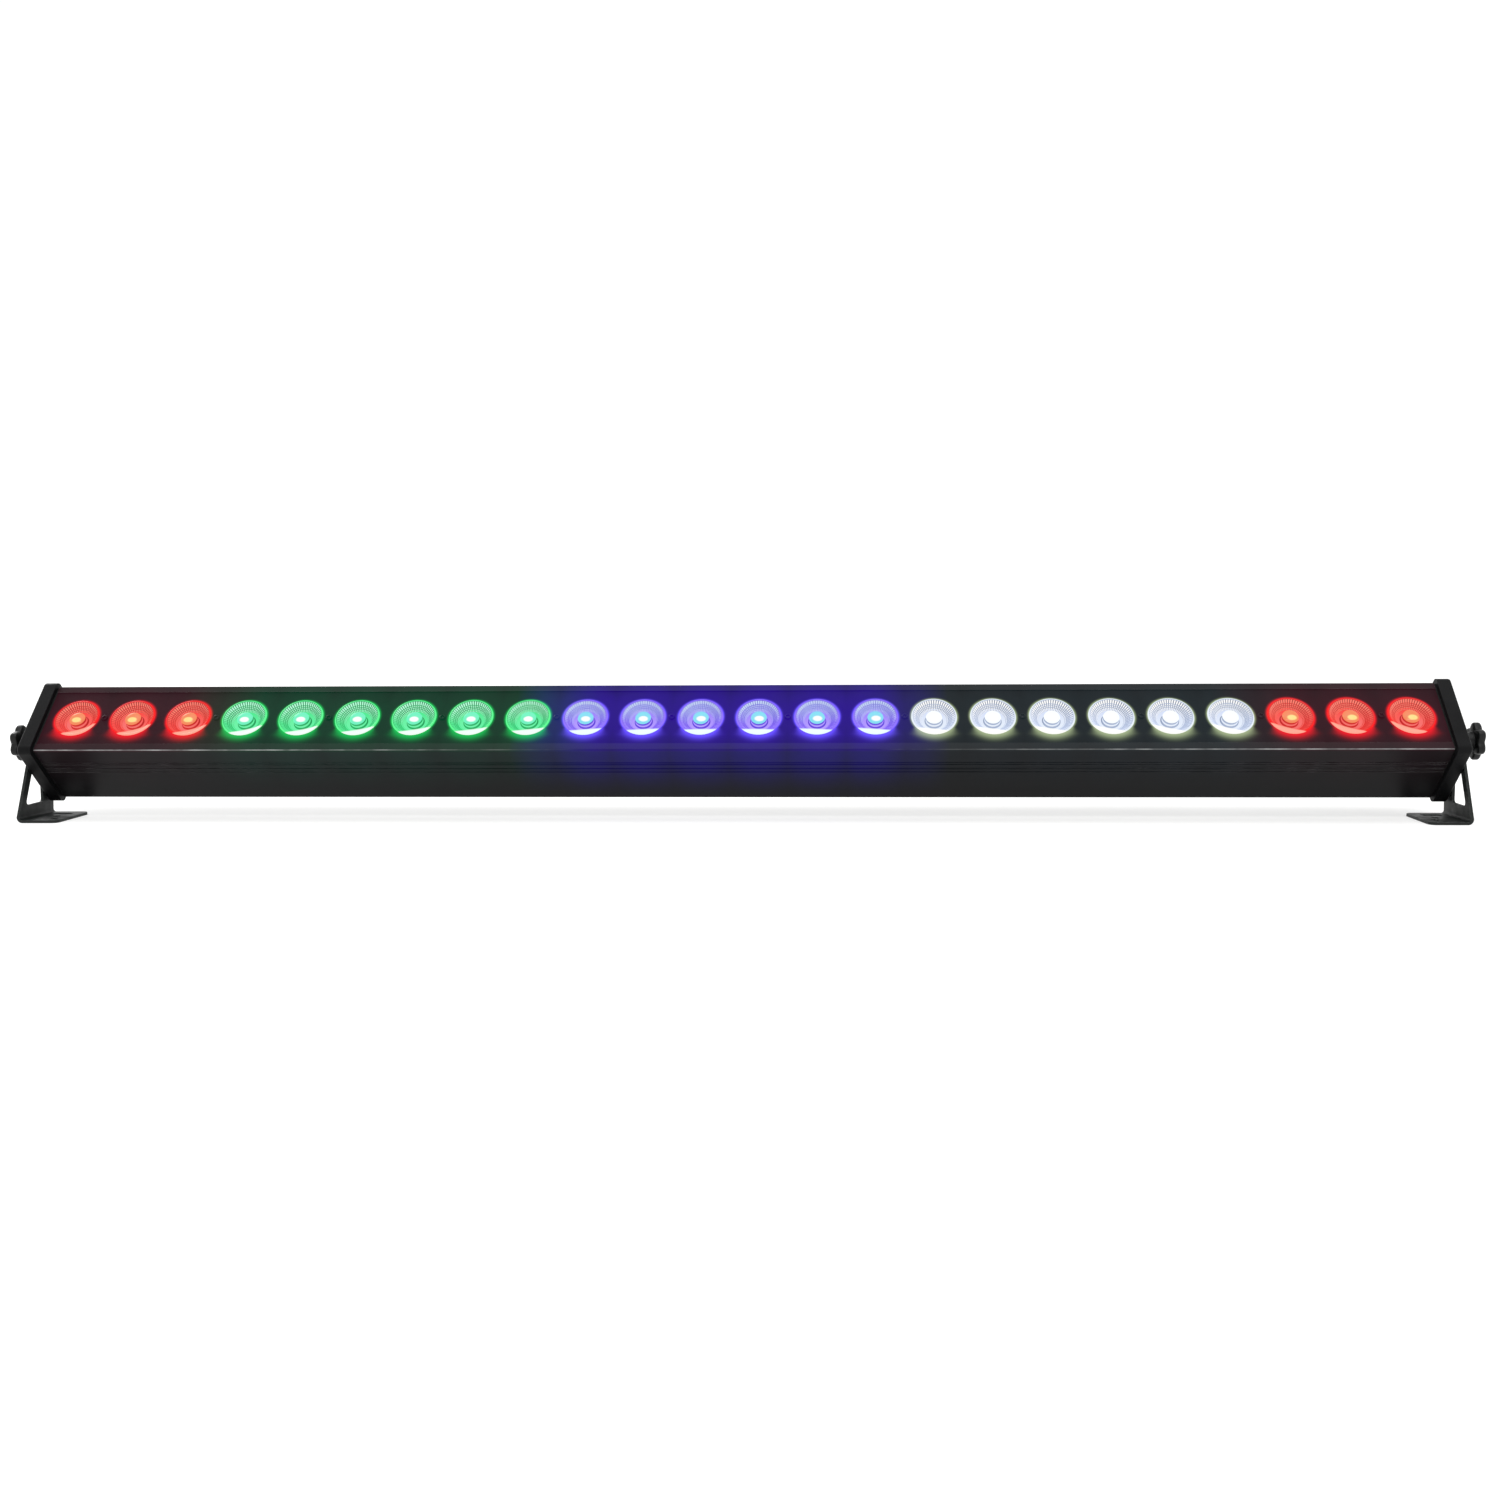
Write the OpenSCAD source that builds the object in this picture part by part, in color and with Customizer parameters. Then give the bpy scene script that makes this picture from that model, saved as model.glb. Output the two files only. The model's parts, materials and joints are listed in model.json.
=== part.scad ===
// LED strip batten: a floor-standing stage light bar with twenty-four lamps.
// Millimetres, +Z up, X along the bar, the audience on the -Y side.
// The origin is on the floor, straight under the centre of the body.

/* [Body] */
// Length of the body between the inner faces of its end caps
body_length = 1000; // [998:1:1200]
// Width of the lit face
section_width = 60.5; // [60:0.5:66]
// Depth of the body, square to the lit face
section_depth = 56.5; // [56:0.5:62]
// Lean of the lit face from level, in degrees
tilt = 46; // [30:1:60]
// Height of the centre of the body above the floor
axis_height = 54.5; // [54.5:0.5:70]
// Thickness of the extruded walls
wall = 1.8; // [1.6:0.1:2.2]
// Thickness of an end cap
cap_thickness = 10; // [8:0.5:14]
// How far an end cap stands out beyond the body's faces
cap_lip = 3; // [2:0.25:4]

/* [Lamps] */
// Distance from one lamp to the next
lamp_pitch = 41.45; // [40:0.05:41.5]
// Radius of a lens at its face
lens_r = 15.9; // [14:0.1:16.2]
// How far the lenses stand out of the black panel
lens_proud = 1; // [0.5:0.1:2]

/* [Brackets] */
// Thickness of the bracket plate
plate = 2; // [1.5:0.25:3]
// Reach of the foot in front of the body's centre
foot_front = 43.5; // [38:0.5:43.5]
// Reach of the foot behind the body's centre
foot_rear = 4.5; // [3:0.5:8]
// Width of the foot, along the bar
foot_width = 29.6; // [26:0.2:40]
// How far the pivot lies in front of the body's centre
pivot_forward = 6; // [0:0.5:8]
// Radius of the bracket's round top
bracket_top_r = 14; // [12:0.5:16]

/* [Knobs] */
// Radius over the tips of the star knob's lobes
knob_r = 13.3; // [11:0.1:16]
// Length of the knob's lobed head
knob_head = 5.6; // [4:0.2:9]
// Length of the knob's round hub
knob_hub = 9.7; // [6:0.1:14]
// Radius of the clamping stud
stud_r = 4; // [3:0.5:5]

/* [Back face] */
// Place along the bar of the mains inlet, and of the mains outlet nearer the middle
power_x = [-420, -352]; // [-440:1:-300]
// Place along the bar of the control signal's socket, and of its inlet
signal_x = [360, 412]; // [300:1:440]
// Size of the display window
window_size = [40, 16]; // [14:1:42]
// Distance from button to button
button_pitch = 14; // [12:0.5:15]
// Radius of a button
button_r = 3; // [2.5:0.1:4]
// How far a button can be pressed
button_travel = 0.8; // [0.4:0.1:0.9]

/* [Hidden] */
$fn = 48;
slip = 0.3;                 // gap between pieces that aren't a fit
running = 0.06;             // radial gap of a turning or sliding fit
face_gap = 0.05;            // gap between flat faces that rub
cut = 1;                    // how far a cutter runs past the face that it opens

half_width = section_width / 2;
half_depth = section_depth / 2;
pivot_y = -pivot_forward;

// Along the bar, from the body outwards
gasket_t = 1.2;
gasket_inset = 0.5;
gasket_rim = 5.4;           // from the body's faces to the gasket's opening
cap_inner_x = body_length / 2;
cap_outer_x = cap_inner_x + cap_thickness;
shell_end_x = cap_inner_x - gasket_t;
plate_gap = 0.6;            // between an end cap and a bracket, filled by the friction washer
plate_in_x = cap_outer_x + plate_gap;
plate_out_x = plate_in_x + plate;
washer_t = 1.6;
washer_in_x = plate_out_x + face_gap;
washer_out_x = washer_in_x + washer_t;
hub_x = washer_out_x + face_gap;
head_x = hub_x + knob_hub;
knob_end_x = head_x + knob_head;

// The body's section
body_corner_r = 1.2;
cap_corner_r = 4.5;
lip_width = 6;              // rim of the body beside the lit panel
panel_recess = 0.6;
panel_t = 1.5;
panel_top = half_depth - panel_recess;
panel_low = panel_top - panel_t;
panel_half = half_width - lip_width;
ledge = 2.4;                // shelf that the panel lies on
rail_reach = 2.4;
rail_t = 1.6;
spreader_t = 3;
spreader_low = 5;
spreader_top = spreader_low + spreader_t;
spreader_half = half_width - wall - slip;
channel_r = 4;              // screw channels in the corners
channel_bore_r = 2;
channel_inset = 5;          // from the body's faces to a channel's middle
channel_drop = 9.5;         // the upper pair lies lower, clear of the panel
channel_y = half_width - channel_inset;
channel_low_z = -half_depth + channel_inset;
channel_high_z = half_depth - channel_drop;
groove_count = 6;
groove_pitch = 2.1;
groove_width = 1;
groove_depth = 0.6;
groove_first = 15;          // from the lit face's edge to the first groove
back_inner = -half_depth + wall;

// The lamps
lamp_count = 24;
section_count = 8;
lamps_per_section = lamp_count / section_count;
board_count = 4;
lamps_per_board = lamp_count / board_count;
board_t = 1.6;
board_half_y = 15;
board_overhang = 12;
board_top = spreader_top + board_t;
lens_gap = 0.4;             // between a lens and its board
lens_base = board_top + lens_gap;
lens_top = panel_top + lens_proud;
lens_foot_r = 5.2;
lens_shoulder = 2;          // depth of a lens's flange below the panel
lens_flange_low = panel_low - lens_shoulder;
lens_well_r = 3.6;
lens_well_depth = 3.4;
lens_well_top = lens_base + lens_well_depth;
lens_edge = 0.6;
emitter_size = 3.5;
emitter_t = 0.8;
emitter_dome_r = 1.5;
holder_t = 1.1;
holder_height = 4.5;
holder_top = lens_base + holder_height;
post_r = 2.8;
post_hole_r = 3.4;          // board's clearance round a post
panel_screw_r = 1.5;
panel_head_r = 2.3;
panel_head_t = 1.3;
panel_screw_length = 8;
loose_hole = 0.1;           // a screw's clearance in its hole

// The end caps' fixings and the pivots
cap_screw_r = 1.9;
cap_screw_length = 22;
cap_head_r = 3.5;
cap_head_t = 2.4;
cap_counterbore = 3;
friction_r = 15;
friction_seat = 0.9;
boss_r = 10.5;
boss_depth = 6;
insert_r = 6;
insert_floor = 1;           // wall of the boss behind the insert
insert_sink = 0.6;          // depth of the insert below the friction washer's seat
insert_start_x = cap_inner_x - boss_depth + insert_floor;
insert_end_x = cap_outer_x - friction_seat - insert_sink;
washer_r = 8.5;
hub_r = 6.5;
hub_foot_r = 7.4;
hub_foot_t = 1.2;
lobe_count = 6;
lobe_r = 4.2;
core_r = 9.4;
stud_setback = 3;           // from the boss's end to the stud's
stud_grip = 7;              // length of the stud inside the knob
stud_start_x = cap_inner_x - boss_depth + stud_setback;
stud_end_x = hub_x + stud_grip;

// The brackets
bend_r = 4;                 // outside of the bend
foot_corner_r = 5;
foot_inner_x = plate_out_x - foot_width;
window_low = 11.5;
window_high = 36;
window_front = [-32, -23];  // front edge, at its foot and at its head
window_rear = -9.5;
window_r = 2.5;
slot_at = [plate_out_x - 15.1, -7];
slot_length = 15;
slot_r = 3.25;
hole_rear_at = [plate_out_x - 17.6, -21];
hole_front_at = [plate_out_x - 22.1, -32];
foot_hole_r = 2.75;

// The back face's pieces, with their depth counted inwards from the face
flange_t = 2.5;
mains_flange = [50, 32];
mains_body = [28, 28];
mains_depth = 22;
mains_cavity = [24, 16];
mains_cavity_y = -5;
mains_cavity_depth = 13;
mains_corner_r = 2;
mains_screw_x = 20;
drawer_size = [22, 6.4];
drawer_y = 8.6;
drawer_depth = 18;
drawer_lip = [24, 8.4];
drawer_lip_t = 1.4;
fuse_r = 2.5;
fuse_length = 20;
fuse_inset = 9;
blade = [2, 4];
blade_spacing = 7;
earth_offset = 4;
blade_tip = 2;              // depth of the blades' tips behind the face
outlet_slot = [2.6, 4.8];
outlet_slot_depth = 12;
signal_flange = [26, 31];
signal_barrel_r = 11.8;
signal_depth = 21;
signal_cavity_r = 9.4;
signal_cavity_depth = 12;
signal_screw = [9.5, 12];
signal_core_r = 7.7;
pin_r = 1.2;
pin_circle_r = 4.5;
pin_tip = 2;
socket_hole_r = 1.4;
latch_size = [8, 3.6];
latch_y = 12.9;
latch_proud = 1.6;
latch_travel = 1.2;
machine_screw_r = 1.5;
machine_head_r = 2.7;
machine_head_t = 1.7;
machine_screw_length = 8;

// The control unit and the power supply
display_x = -30;
display_size = [36, 13, 6];
button_count = 4;
button_x = 10;
button_proud = 1.4;
button_stem = 4.6;
button_collar_r = button_r + 1.3;
button_collar_t = 1;
card_t = 1.6;
card_half_y = 20;
card_lift = 6.8;            // from the back wall to a card
card_low = back_inner + card_lift;
card_top = card_low + card_t;
control_ends = [-72, 72];
supply_ends = [-300, -96];
standoff_r = 2.6;
standoff_inset = 6;
touch_gap = 0.2;            // left between a pressed button and its switch
tact_size = [6, 6, wall + card_lift - button_stem - button_travel - touch_gap];
chip_size = [12, 12, 2];
chip_x = [-40, 0, 40];
coil_x = [24, 184];         // along the power supply, from its left end
coil_r = 9;
coil_t = 12;
capacitor_x = [50, 66];
capacitor_y = 8;
capacitor_r = 6;
capacitor_t = 16;
transformer_x = 90;
transformer_size = [28, 26, 18];
heatsink_at = [145, -14];
heatsink_size = [50, 3, 18];
wire_r = 1.6;
wire_lift = 3.4;            // from the back wall to a lead's middle
wire_z = back_inner + wire_lift;
wire_y = 8;
riser_r = 2.4;
riser_x = -200;
riser_y = 18;

black_metal = [0.13, 0.13, 0.14];
grey_metal = [0.24, 0.24, 0.25];
black_plastic = [0.1, 0.1, 0.1];
rubber = [0.05, 0.05, 0.05];
bare_metal = [0.72, 0.73, 0.75];
brass = [0.8, 0.65, 0.35];
card_green = [0.1, 0.35, 0.2];
card_white = [0.9, 0.9, 0.88];
copper = [0.7, 0.35, 0.2];
lamp_red = [1, 0.2, 0.2];
lamp_green = [0.3, 1, 0.4];
lamp_blue = [0.4, 0.3, 1];
lamp_white = [0.85, 0.9, 1];
section_colours = [
    lamp_red, lamp_green, lamp_green, lamp_blue, lamp_blue, lamp_white, lamp_white, lamp_red
];

// The middle of a lamp along the bar, with lamps counted from 0 at the left
function lamp_x(i) = (i - (lamp_count - 1) / 2) * lamp_pitch;

// A panel screw stands between the two lamps of each pair
function post_x(pair) = (lamp_x(2 * pair) + lamp_x(2 * pair + 1)) / 2;

// Where the line from p touches a circle at c; turn is 1 or -1 for its two sides
function touch_point(p, c, r, turn) =
    let (d = norm(c - p), lean = atan2(c[1] - p[1], c[0] - p[0]) + turn * asin(r / d))
    p + sqrt(d * d - r * r) * [cos(lean), sin(lean)];

// The body's own frame: y runs across the lit face, and z stands square to it
module tilted() {
    translate([0, 0, axis_height]) rotate([tilt, 0, 0]) children();
}

// A place on the back face, with z outwards from it
module on_back(x, y = 0) {
    tilted() translate([x, -y, -half_depth]) rotate([180, 0, 0]) children();
}

// An outline in y and z, drawn out along the bar
module along_x(start, end) {
    translate([start, 0, 0]) rotate([90, 0, 90]) linear_extrude(end - start) children();
}

// A round piece on a bracket's pivot
module on_pivot(start, end, r) {
    along_x(start, end) translate([pivot_y, axis_height]) circle(r);
}

// The left-hand copy of a piece that is drawn at the right-hand end
module left_hand() {
    mirror([1, 0, 0]) children();
}

module rounded_rectangle(size, r) {
    square([size[0] - 2 * r, size[1]], center = true);
    square([size[0], size[1] - 2 * r], center = true);
    for (x = [-1, 1], y = [-1, 1]) {
        translate([x * (size[0] / 2 - r), y * (size[1] / 2 - r)]) circle(r);
    }
}

module slot_outline(length, r) {
    square([length - 2 * r, 2 * r], center = true);
    for (x = [-1, 1]) translate([x * (length / 2 - r), 0]) circle(r);
}

module block(low, high) {
    translate(low) cube(high - low);
}

// A block centred in x and y that runs from one height to another
module pad(size, low, high) {
    translate([-size[0] / 2, -size[1] / 2, low]) cube([size[0], size[1], high - low]);
}

module screw_channels(r) {
    for (y = [-1, 1]) {
        translate([y * channel_y, channel_low_z]) circle(r);
        translate([y * channel_y, channel_high_z]) circle(r);
    }
}

// The extrusion's outline: walls, rims beside the lit panel, shelves under it, and grooves down both sides
module shell_outline() {
    difference() {
        rounded_rectangle([section_width, section_depth], body_corner_r);
        translate([0, (back_inner + panel_low - wall) / 2])
            square([section_width - 2 * wall, panel_low - wall - back_inner], center = true);
        translate([-panel_half + ledge, 0]) square([2 * (panel_half - ledge), half_depth + cut]);
        translate([-panel_half - face_gap, panel_low]) square([2 * (panel_half + face_gap), half_depth]);
        for (i = [0:groove_count - 1], y = [-1, 1]) {
            translate([y * half_width, half_depth - groove_first - i * groove_pitch])
                square([2 * groove_depth, groove_width], center = true);
        }
    }
}

// Pairs of rails that hold the edges of the heat spreader
module rail_outline() {
    for (y = [-1, 1], z = [spreader_low - face_gap - rail_t, spreader_top + face_gap]) {
        translate([y * (half_width - (wall + rail_reach) / 2), z + rail_t / 2])
            square([wall + rail_reach, rail_t], center = true);
    }
}

// A round hole through the back wall
module wall_hole(r) {
    translate([0, 0, -wall - cut]) cylinder(h = wall + 2 * cut, r = r);
}

module back_openings() {
    for (x = power_x) on_back(x) pad(mains_body + [slip, slip], -wall - cut, cut);
    for (x = signal_x) on_back(x) wall_hole(signal_barrel_r + slip);
    for (i = [0:button_count - 1]) on_back(button_x + i * button_pitch) wall_hole(button_r + slip);
    on_back(display_x) pad(window_size + [face_gap, face_gap], -wall - cut, cut);
    screw_sites() wall_hole(machine_screw_r + loose_hole);
}

// The places of the eight screws that hold the four connectors
module screw_sites() {
    for (x = power_x, s = [-1, 1]) on_back(x + s * mains_screw_x) children();
    for (x = signal_x, s = [-1, 1]) on_back(x + s * signal_screw[0], s * signal_screw[1]) children();
}

module housing() {
    color(black_metal) difference() {
        tilted() along_x(-shell_end_x, shell_end_x) difference() {
            union() {
                shell_outline();
                rail_outline();
                intersection() {
                    screw_channels(channel_r);
                    square([section_width - wall, section_depth - wall], center = true);
                }
            }
            screw_channels(channel_bore_r);
        }
        back_openings();
    }
}

module front_panel() {
    color(black_metal) tilted() translate([0, 0, panel_low]) linear_extrude(panel_t) difference() {
        square([2 * shell_end_x, 2 * panel_half], center = true);
        for (i = [0:lamp_count - 1]) translate([lamp_x(i), 0]) circle(lens_r + slip);
        for (i = [0:lamp_count / 2 - 1]) translate([post_x(i), 0]) circle(panel_screw_r + loose_hole);
    }
}

module front_panel_screws() {
    color(bare_metal) tilted() for (i = [0:lamp_count / 2 - 1]) translate([post_x(i), 0, 0]) {
        translate([0, 0, panel_top]) cylinder(h = panel_head_t, r = panel_head_r);
        translate([0, 0, panel_top - panel_screw_length]) cylinder(h = panel_screw_length, r = panel_screw_r);
    }
}

module panel_posts() {
    height = panel_low - spreader_top;
    color(brass) tilted() for (i = [0:lamp_count / 2 - 1]) translate([post_x(i), 0, spreader_top]) {
        difference() {
            cylinder(h = height, r = post_r);
            translate([0, 0, height - panel_screw_length])
                cylinder(h = panel_screw_length + cut, r = panel_screw_r + loose_hole);
        }
    }
}

// A clear collimating lens: a cone with a well for the emitter and a round flange
module lens() {
    rotate_extrude() polygon([
        [lens_well_r, lens_base],
        [lens_foot_r, lens_base],
        [lens_r - lens_edge, lens_flange_low],
        [lens_r, lens_flange_low + lens_edge],
        [lens_r, lens_top - lens_edge],
        [lens_r - lens_edge, lens_top],
        [0, lens_top],
        [0, lens_well_top],
        [lens_well_r - lens_edge, lens_well_top],
        [lens_well_r, lens_well_top - lens_edge]
    ]);
}

module lens_section(number) {
    first = (number - 1) * lamps_per_section;
    color(section_colours[number - 1]) tilted()
        for (i = [first:first + lamps_per_section - 1]) translate([lamp_x(i), 0, 0]) lens();
}

module lens_holders() {
    slope = (lens_r - lens_edge - lens_foot_r) / (lens_flange_low - lens_base);
    foot_r = lens_foot_r + slip + slope * (board_top - lens_base);
    head_r = lens_foot_r + slip + slope * (holder_top - lens_base);
    color(black_plastic) tilted() for (i = [0:lamp_count - 1]) translate([lamp_x(i), 0, 0]) {
        rotate_extrude() polygon([
            [foot_r + slip, board_top],
            [head_r + holder_t, board_top],
            [head_r + holder_t, holder_top],
            [head_r + slip, holder_top]
        ]);
    }
}

module led_emitters() {
    color(card_white) tilted() for (i = [0:lamp_count - 1]) translate([lamp_x(i), 0, 0]) {
        pad([emitter_size, emitter_size], board_top, board_top + emitter_t);
        translate([0, 0, board_top + emitter_t]) cylinder(h = emitter_t, r = emitter_dome_r);
    }
}

module led_board(number) {
    first = (number - 1) * lamps_per_board;
    last = first + lamps_per_board - 1;
    color(card_white) tilted() difference() {
        block(
            [lamp_x(first) - board_overhang, -board_half_y, spreader_top],
            [lamp_x(last) + board_overhang, board_half_y, board_top]
        );
        for (pair = [first / 2:(last - 1) / 2]) {
            translate([post_x(pair), 0, spreader_top - cut]) cylinder(h = board_t + 2 * cut, r = post_hole_r);
        }
    }
}

module heat_spreader() {
    end_x = cap_inner_x - boss_depth - cut;
    color(bare_metal) tilted() difference() {
        block([-end_x, -spreader_half, spreader_low], [end_x, spreader_half, spreader_top]);
        translate([riser_x, riser_y, spreader_low - cut])
            cylinder(h = spreader_t + 2 * cut, r = riser_r + slip);
    }
}

// The lead from the power supply up through the spreader to the lamp boards
module led_wiring() {
    riser_top = board_top + 2 * riser_r;
    reach = lamp_x(lamp_count - 1) + riser_x;
    color("red") tilted() {
        translate([riser_x, riser_y, card_top]) cylinder(h = riser_top - card_top, r = riser_r);
        translate([0, riser_y, riser_top]) rotate([0, 90, 0])
            cylinder(h = 2 * reach, r = wire_r, center = true);
    }
}

module card(ends) {
    tilted() difference() {
        block([ends[0], -card_half_y, card_low], [ends[1], card_half_y, card_top]);
        card_corners(ends) cylinder(h = 2 * card_t, r = machine_screw_r);
    }
}

// The four corners of a card, at the height of its lower face
module card_corners(ends) {
    for (x = [ends[0] + standoff_inset, ends[1] - standoff_inset], y = [-1, 1]) {
        translate([x, y * (card_half_y - standoff_inset), card_low - card_t / 2]) children();
    }
}

module supply_card() {
    color(card_green) card(supply_ends);
}

module control_card() {
    color(card_green) card(control_ends);
}

module card_standoffs() {
    color(brass) tilted() for (ends = [supply_ends, control_ends]) {
        intersection() {
            card_corners(ends) cylinder(h = 2 * (card_low - back_inner), r = standoff_r, center = true);
            block([ends[0], -card_half_y, back_inner], [ends[1], card_half_y, card_low]);
        }
    }
}

module supply_parts() {
    color("orange") tilted() translate([supply_ends[0], 0, card_top]) {
        for (x = coil_x) translate([x, 0, 0]) cylinder(h = coil_t, r = coil_r);
        for (x = capacitor_x, y = [-1, 1]) {
            translate([x, y * capacitor_y, 0]) cylinder(h = capacitor_t, r = capacitor_r);
        }
        translate([transformer_x, 0, 0]) pad(transformer_size, 0, transformer_size[2]);
        translate(heatsink_at) pad(heatsink_size, 0, heatsink_size[2]);
    }
}

module control_parts() {
    color(black_plastic) tilted() for (x = chip_x) translate([x, 0, 0]) {
        pad(chip_size, card_top, card_top + chip_size[2]);
    }
}

module display_module() {
    color(black_plastic) tilted() translate([display_x, 0, 0])
        pad(display_size, card_low - display_size[2], card_low);
}

module display_window() {
    color([0.5, 0.05, 0.05]) on_back(display_x) pad(window_size, -wall, 0);
}

module button_switches() {
    color(bare_metal) tilted() for (i = [0:button_count - 1]) {
        translate([button_x + i * button_pitch, 0, 0]) pad(tact_size, card_low - tact_size[2], card_low);
    }
}

module button(number) {
    color(black_plastic) on_back(button_x + (number - 1) * button_pitch) {
        translate([0, 0, -button_stem]) cylinder(h = button_stem + button_proud, r = button_r);
        translate([0, 0, -wall - face_gap - button_collar_t])
            cylinder(h = button_collar_t, r = button_collar_r);
    }
}

module mains_body_outline(flange) {
    difference() {
        union() {
            linear_extrude(flange_t) rounded_rectangle(flange, mains_corner_r);
            pad(mains_body, -mains_depth, 0);
        }
        for (s = [-1, 1]) translate([s * mains_screw_x, 0, -cut])
            cylinder(h = flange_t + 2 * cut, r = machine_screw_r + loose_hole);
    }
}

// The mains inlet, with a deep socket above a drawer for the fuse
module mains_inlet() {
    color(black_plastic) on_back(power_x[0]) difference() {
        mains_body_outline(mains_flange);
        translate([0, mains_cavity_y, -mains_cavity_depth])
            linear_extrude(mains_cavity_depth + flange_t + cut)
                rounded_rectangle(mains_cavity, mains_corner_r);
        translate([0, drawer_y, 0]) pad(drawer_size + [slip, slip], -drawer_depth - slip, flange_t + cut);
    }
}

module fuse_drawer() {
    color(grey_metal) on_back(power_x[0]) translate([0, drawer_y, 0]) difference() {
        union() {
            pad(drawer_size, -drawer_depth, flange_t + drawer_lip_t);
            pad(drawer_lip, flange_t + face_gap, flange_t + drawer_lip_t);
        }
        fuse_shape(fuse_r + running, fuse_length + slip);
        translate([0, drawer_size[1] / 2, -fuse_inset])
            cube([fuse_length + slip, drawer_size[1], 2 * fuse_r], center = true);
    }
}

module fuse_shape(r, length) {
    translate([0, 0, -fuse_inset]) rotate([0, 90, 0]) cylinder(h = length, r = r, center = true);
}

module fuse() {
    color(bare_metal) on_back(power_x[0]) translate([0, drawer_y, 0]) fuse_shape(fuse_r, fuse_length);
}

// The linking outlet takes the mains plug of the next bar
module mains_outlet() {
    color(black_plastic) on_back(power_x[1]) difference() {
        mains_body_outline(mains_flange);
        blade_sites() pad(outlet_slot, -outlet_slot_depth, flange_t + cut);
    }
}

module blade_sites() {
    for (x = [-1, 0, 1]) {
        translate([x * blade_spacing, (x == 0 ? -earth_offset : 0), 0]) children();
    }
}

module pin_sites() {
    for (i = [0:2]) rotate([0, 0, 90 + 120 * i]) translate([pin_circle_r, 0, 0]) children();
}

module connector_contacts() {
    color(bare_metal) {
        on_back(power_x[0]) translate([0, mains_cavity_y + earth_offset / 2, 0])
            blade_sites() pad(blade, -mains_cavity_depth, -blade_tip);
        on_back(signal_x[1]) pin_sites()
            translate([0, 0, -signal_cavity_depth]) cylinder(h = signal_cavity_depth - pin_tip, r = pin_r);
    }
}

module signal_body() {
    difference() {
        union() {
            linear_extrude(flange_t) rounded_rectangle(signal_flange, mains_corner_r);
            translate([0, 0, -signal_depth]) cylinder(h = signal_depth, r = signal_barrel_r);
        }
        for (s = [-1, 1]) translate([s * signal_screw[0], s * signal_screw[1], -cut])
            cylinder(h = flange_t + 2 * cut, r = machine_screw_r + loose_hole);
    }
}

module signal_inlet() {
    color(black_plastic) on_back(signal_x[1]) difference() {
        signal_body();
        translate([0, 0, -signal_cavity_depth])
            cylinder(h = signal_cavity_depth + flange_t + cut, r = signal_cavity_r);
    }
}

module signal_outlet() {
    color(black_plastic) on_back(signal_x[0]) difference() {
        signal_body();
        difference() {
            translate([0, 0, -signal_cavity_depth])
                cylinder(h = signal_cavity_depth + flange_t + cut, r = signal_cavity_r);
            translate([0, 0, -signal_cavity_depth - cut])
                cylinder(h = signal_cavity_depth + cut + flange_t, r = signal_core_r);
        }
        pin_sites() translate([0, 0, -signal_cavity_depth])
            cylinder(h = signal_cavity_depth + flange_t + cut, r = socket_hole_r);
        translate([0, latch_y, 0]) pad(latch_size + [slip, slip], -cut, flange_t + cut);
    }
}

module signal_latch() {
    color(bare_metal) on_back(signal_x[0]) translate([0, latch_y, 0])
        pad(latch_size, latch_travel + face_gap, flange_t + latch_proud);
}

module connector_screws() {
    color(bare_metal) screw_sites() {
        translate([0, 0, flange_t]) cylinder(h = machine_head_t, r = machine_head_r);
        translate([0, 0, flange_t - machine_screw_length])
            cylinder(h = machine_screw_length, r = machine_screw_r);
    }
}

// Leads along the back wall, from the connectors to the space under a card
module mains_wiring() {
    color(copper) tilted() translate([0, 0, wire_z]) {
        for (y = [-1, 1]) translate([power_x[1] + mains_body[0] / 2 + slip, y * wire_y, 0]) rotate([0, 90, 0])
            cylinder(h = supply_ends[0] + standoff_inset - power_x[1] - mains_body[0] / 2, r = wire_r);
    }
}

module signal_wiring() {
    start = control_ends[1] - standoff_inset;
    color(copper) tilted() translate([start, 0, wire_z]) rotate([0, 90, 0])
        cylinder(h = signal_x[0] - signal_barrel_r - slip - start, r = wire_r);
}

module cap_outline() {
    rounded_rectangle([section_width + 2 * cap_lip, section_depth + 2 * cap_lip], cap_corner_r);
}

module end_cap() {
    color(black_plastic) difference() {
        union() {
            tilted() along_x(cap_inner_x, cap_outer_x) cap_outline();
            on_pivot(cap_inner_x - boss_depth, cap_inner_x, boss_r);
        }
        tilted() along_x(cap_inner_x - cut, cap_outer_x + cut) screw_channels(cap_screw_r + slip);
        tilted() along_x(cap_outer_x - cap_counterbore, cap_outer_x + cut) screw_channels(cap_head_r + slip);
        on_pivot(cap_outer_x - friction_seat, cap_outer_x + cut, friction_r + running);
        on_pivot(insert_start_x, cap_outer_x, insert_r + running);
    }
}

module end_gasket() {
    outline = [section_width - 2 * gasket_inset, section_depth - 2 * gasket_inset];
    color(rubber) tilted() along_x(shell_end_x, cap_inner_x) difference() {
        rounded_rectangle(outline, body_corner_r);
        square([section_width - 2 * gasket_rim, section_depth - 2 * gasket_rim], center = true);
        screw_channels(channel_bore_r + slip);
    }
}

module end_cap_screw_set() {
    seat_x = cap_outer_x - cap_counterbore;
    tilted() {
        along_x(seat_x, seat_x + cap_head_t) screw_channels(cap_head_r);
        along_x(seat_x - cap_screw_length, seat_x) screw_channels(cap_screw_r);
    }
}

module end_cap_screws() {
    color(bare_metal) {
        end_cap_screw_set();
        left_hand() end_cap_screw_set();
    }
}

module thread_insert() {
    color(brass) difference() {
        on_pivot(insert_start_x + face_gap, insert_end_x, insert_r);
        on_pivot(insert_start_x, insert_end_x + cut, stud_r + running);
    }
}

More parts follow.
